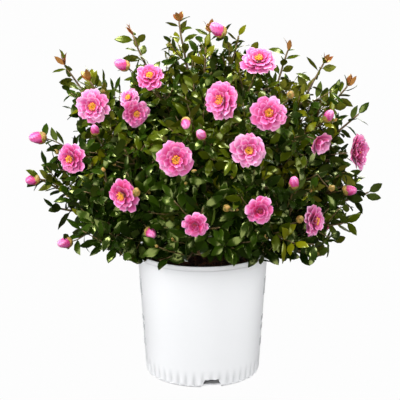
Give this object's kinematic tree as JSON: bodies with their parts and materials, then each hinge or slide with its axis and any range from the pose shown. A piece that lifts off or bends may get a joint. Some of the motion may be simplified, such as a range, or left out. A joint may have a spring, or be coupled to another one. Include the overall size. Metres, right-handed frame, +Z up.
{
  "type": "camellia shrub",
  "caption": "Flowering camellia shrub: a short branching trunk with a dense round crown of glossy leaves, pink double blooms and buds, growing in a plain tapered pot that stands on its base.",
  "frame": {"origin": "centre of the pot's flat underside, on the ground", "axes": "+Z up along the pot's axis, -Y towards the front of the shrub, +X to its right seen from the front"},
  "size_m": [0.7491, 0.7121, 0.7814],
  "materials": {
    "pot": "smooth moulded white plastic",
    "soil": "dark bark-based potting mix with reddish chips",
    "bark": "thin brown bark, finely ridged",
    "foliage": "glossy dark green leaves with bronze new growth",
    "petals": "soft satin pink petals with paler edges",
    "stamens": "powdery golden yellow"
  },
  "bodies": {
    "root": {"pot": "pot", "soil": "soil", "trunk": "bark", "bough_upper_1": "bark", "bough_upper_2": "bark", "bough_upper_3": "bark", "bough_upper_4": "bark", "bough_upper_5": "bark", "bough_lower_1": "bark", "bough_lower_2": "bark", "bough_lower_3": "bark", "bough_lower_4": "bark", "bough_lower_5": "bark", "bough_lower_6": "bark", "bough_lower_7": "bark", "bough_lower_8": "bark", "foliage_top": "foliage", "foliage_upper_1": "foliage", "foliage_upper_2": "foliage", "foliage_upper_3": "foliage", "foliage_upper_4": "foliage", "foliage_upper_5": "foliage", "foliage_lower_1": "foliage", "foliage_lower_2": "foliage", "foliage_lower_3": "foliage", "foliage_lower_4": "foliage", "foliage_lower_5": "foliage", "foliage_lower_6": "foliage", "foliage_lower_7": "foliage", "foliage_lower_8": "foliage"}
  },
  "joints": []
}
